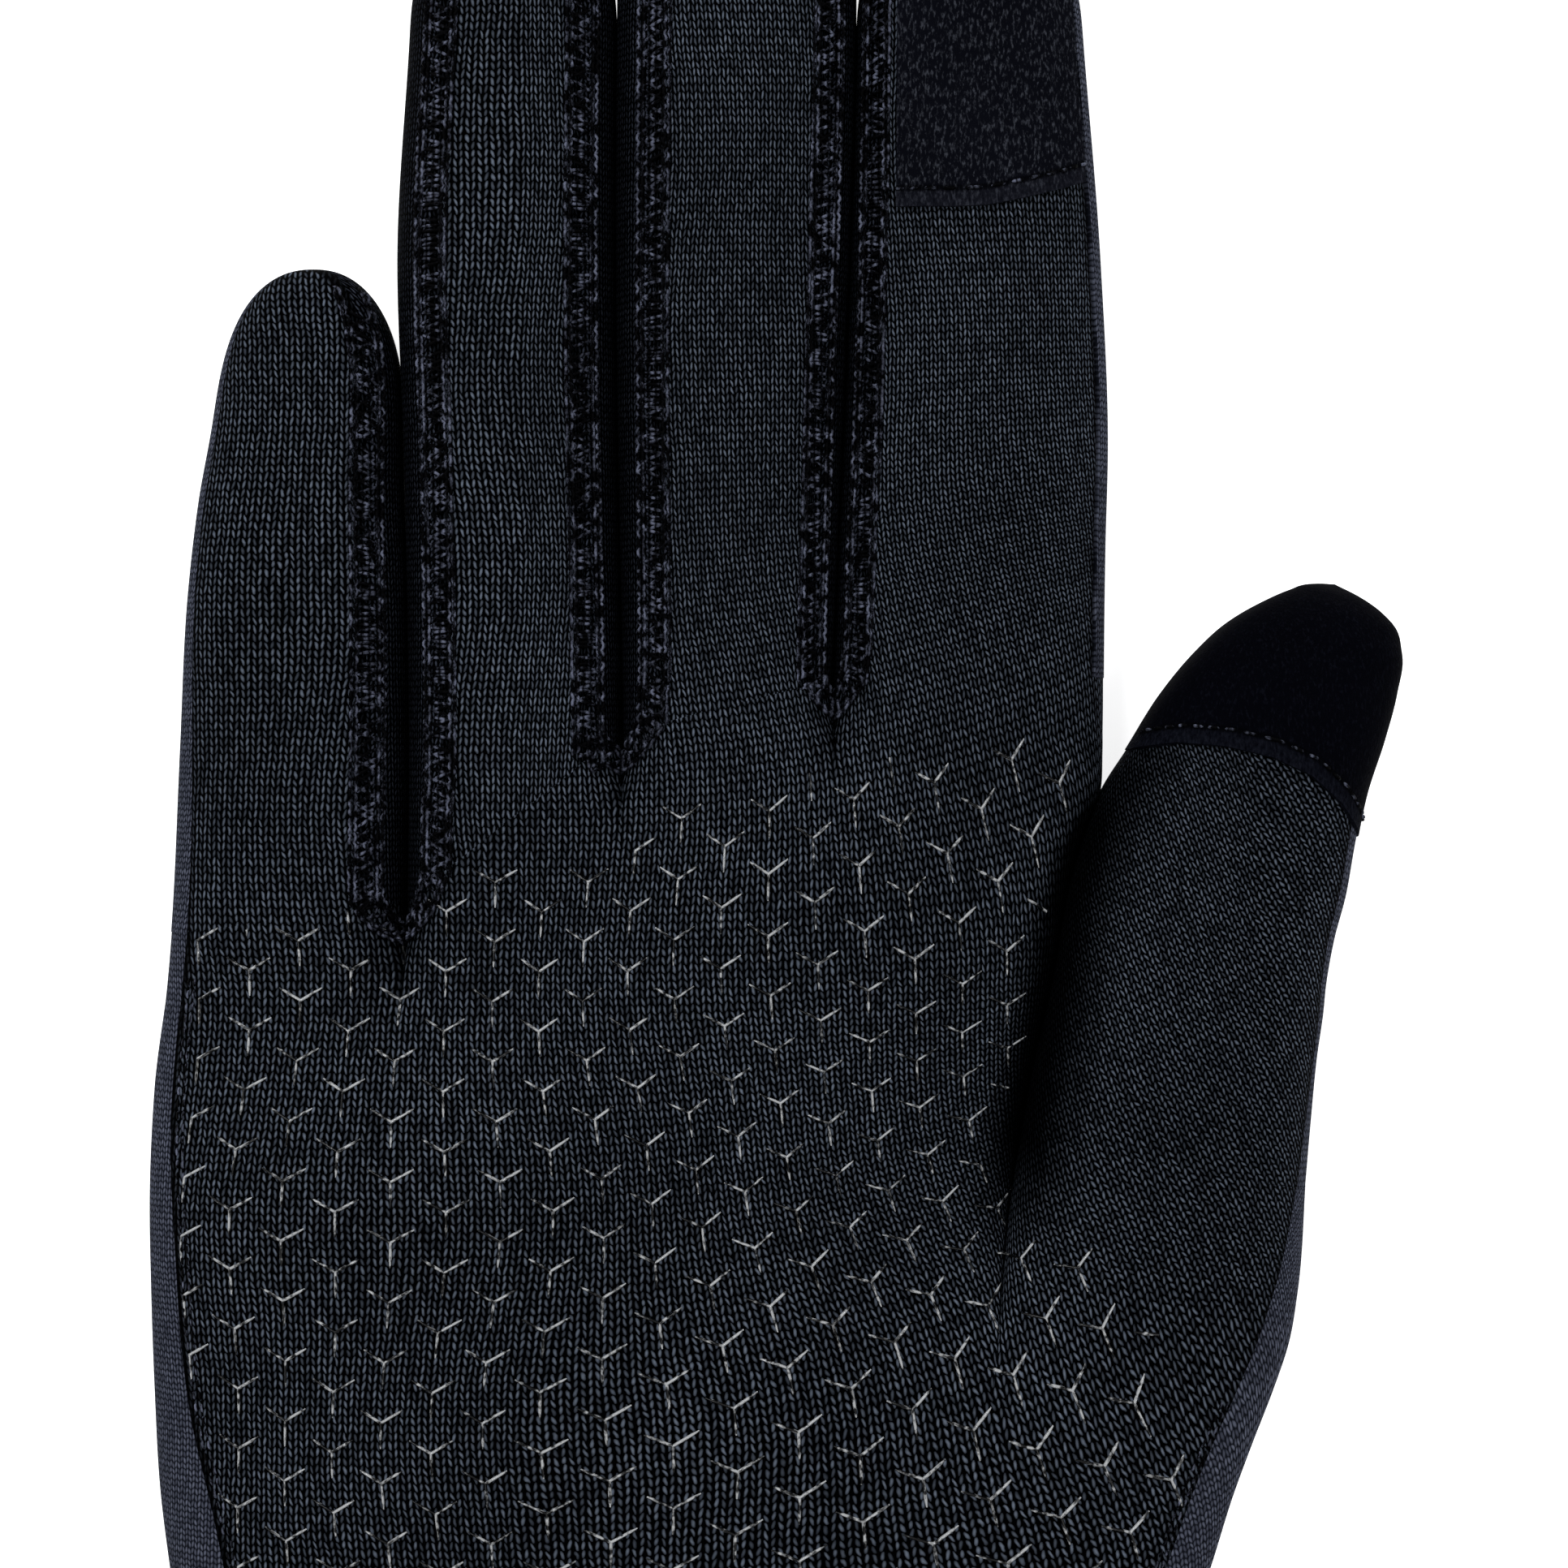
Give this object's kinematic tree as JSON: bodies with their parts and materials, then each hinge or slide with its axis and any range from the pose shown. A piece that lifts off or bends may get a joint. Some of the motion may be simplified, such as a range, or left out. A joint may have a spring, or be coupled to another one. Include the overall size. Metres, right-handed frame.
{
  "type": "touchscreen glove",
  "caption": "Stretch knit glove for the right hand with bending fingers, conductive patches on thumb and index, and flat seams between the fingers.",
  "frame": {"origin": "on the table, where the flattened back of the hand rests, under the middle of the palm", "axes": "+X towards the thumb, +Y along the fingers, +Z out of the palm"},
  "size_m": [0.1243, 0.2489, 0.0331],
  "materials": {
    "knit": "fine ribbed stretch knit, matte",
    "suede": "brushed conductive fabric, very matte",
    "elastic": "woven elastic",
    "label": "blank woven tape",
    "seam_thread": "flatlock sewing thread",
    "silicone": "clear raised silicone print, glossy"
  },
  "bodies": {
    "hand": {"palm_panel": "knit", "back_panel": "knit", "cuff_front": "knit", "cuff_back": "knit", "cuff_hem": "knit", "wrist_elastic": "elastic", "size_label": "label", "index_knuckle_bend": "knit", "middle_knuckle_bend": "knit", "ring_knuckle_bend": "knit", "little_knuckle_bend": "knit", "thumb_knuckle_bend": "knit"},
    "index_base": {"index_base_front": "knit", "index_base_back": "knit", "index_base_fourchette_inner": "knit", "index_joint_bend": "knit"},
    "index_tip": {"index_tip_front": "knit", "index_tip_back": "knit", "index_tip_fourchette_inner": "knit", "index_touch_patch": "suede"},
    "middle_base": {"middle_base_front": "knit", "middle_base_back": "knit", "middle_base_fourchette_inner": "knit", "middle_base_fourchette_outer": "knit", "middle_joint_bend": "knit"},
    "middle_tip": {"middle_tip_front": "knit", "middle_tip_back": "knit", "middle_tip_fourchette_inner": "knit", "middle_tip_fourchette_outer": "knit"},
    "ring_base": {"ring_base_front": "knit", "ring_base_back": "knit", "ring_base_fourchette_inner": "knit", "ring_base_fourchette_outer": "knit", "ring_joint_bend": "knit"},
    "ring_tip": {"ring_tip_front": "knit", "ring_tip_back": "knit", "ring_tip_fourchette_inner": "knit", "ring_tip_fourchette_outer": "knit"},
    "little_base": {"little_base_front": "knit", "little_base_back": "knit", "little_base_fourchette_outer": "knit", "little_joint_bend": "knit"},
    "little_tip": {"little_tip_front": "knit", "little_tip_back": "knit", "little_tip_fourchette_outer": "knit"},
    "thumb_base": {"thumb_base_front": "knit", "thumb_base_back": "knit", "thumb_joint_bend": "knit"},
    "thumb_tip": {"thumb_tip_front": "knit", "thumb_tip_back": "knit", "thumb_touch_patch": "suede"}
  },
  "joints": [
    {"name": "index_knuckle", "type": "hinge", "parent": "hand", "child": "index_base", "pos_m": [0.0319, 0.044, 0.0098], "axis": [1, 0, 0], "range_deg": [0, 75], "deforming": ["index_knuckle_bend"]},
    {"name": "index_joint", "type": "hinge", "parent": "index_base", "child": "index_tip", "pos_m": [0.0319, 0.068, 0.0098], "axis": [1, 0, 0], "range_deg": [0, 80], "deforming": ["index_joint_bend"]},
    {"name": "middle_knuckle", "type": "hinge", "parent": "hand", "child": "middle_base", "pos_m": [0.0083, 0.044, 0.01], "axis": [1, 0, 0], "range_deg": [0, 75], "deforming": ["middle_knuckle_bend"]},
    {"name": "middle_joint", "type": "hinge", "parent": "middle_base", "child": "middle_tip", "pos_m": [0.0083, 0.07, 0.01], "axis": [1, 0, 0], "range_deg": [0, 80], "deforming": ["middle_joint_bend"]},
    {"name": "ring_knuckle", "type": "hinge", "parent": "hand", "child": "ring_base", "pos_m": [-0.0138, 0.0385, 0.0096], "axis": [1, 0, 0], "range_deg": [0, 75], "deforming": ["ring_knuckle_bend"]},
    {"name": "ring_joint", "type": "hinge", "parent": "ring_base", "child": "ring_tip", "pos_m": [-0.0138, 0.064, 0.0096], "axis": [1, 0, 0], "range_deg": [0, 80], "deforming": ["ring_joint_bend"]},
    {"name": "little_knuckle", "type": "hinge", "parent": "hand", "child": "little_base", "pos_m": [-0.0348, 0.0225, 0.0089], "axis": [1, 0, 0], "range_deg": [0, 75], "deforming": ["little_knuckle_bend"]},
    {"name": "little_joint", "type": "hinge", "parent": "little_base", "child": "little_tip", "pos_m": [-0.0348, 0.046, 0.0089], "axis": [1, 0, 0], "range_deg": [0, 80], "deforming": ["little_joint_bend"]},
    {"name": "thumb_knuckle", "type": "hinge", "parent": "hand", "child": "thumb_base", "pos_m": [0.0522, -0.001, 0.014], "axis": [0.9798, -0.2, 0], "range_deg": [0, 45], "deforming": ["thumb_knuckle_bend"]},
    {"name": "thumb_joint", "type": "hinge", "parent": "thumb_base", "child": "thumb_tip", "pos_m": [0.0576, 0.0225, 0.011], "axis": [0.933, -0.36, 0], "range_deg": [0, 70], "deforming": ["thumb_joint_bend"]}
  ]
}
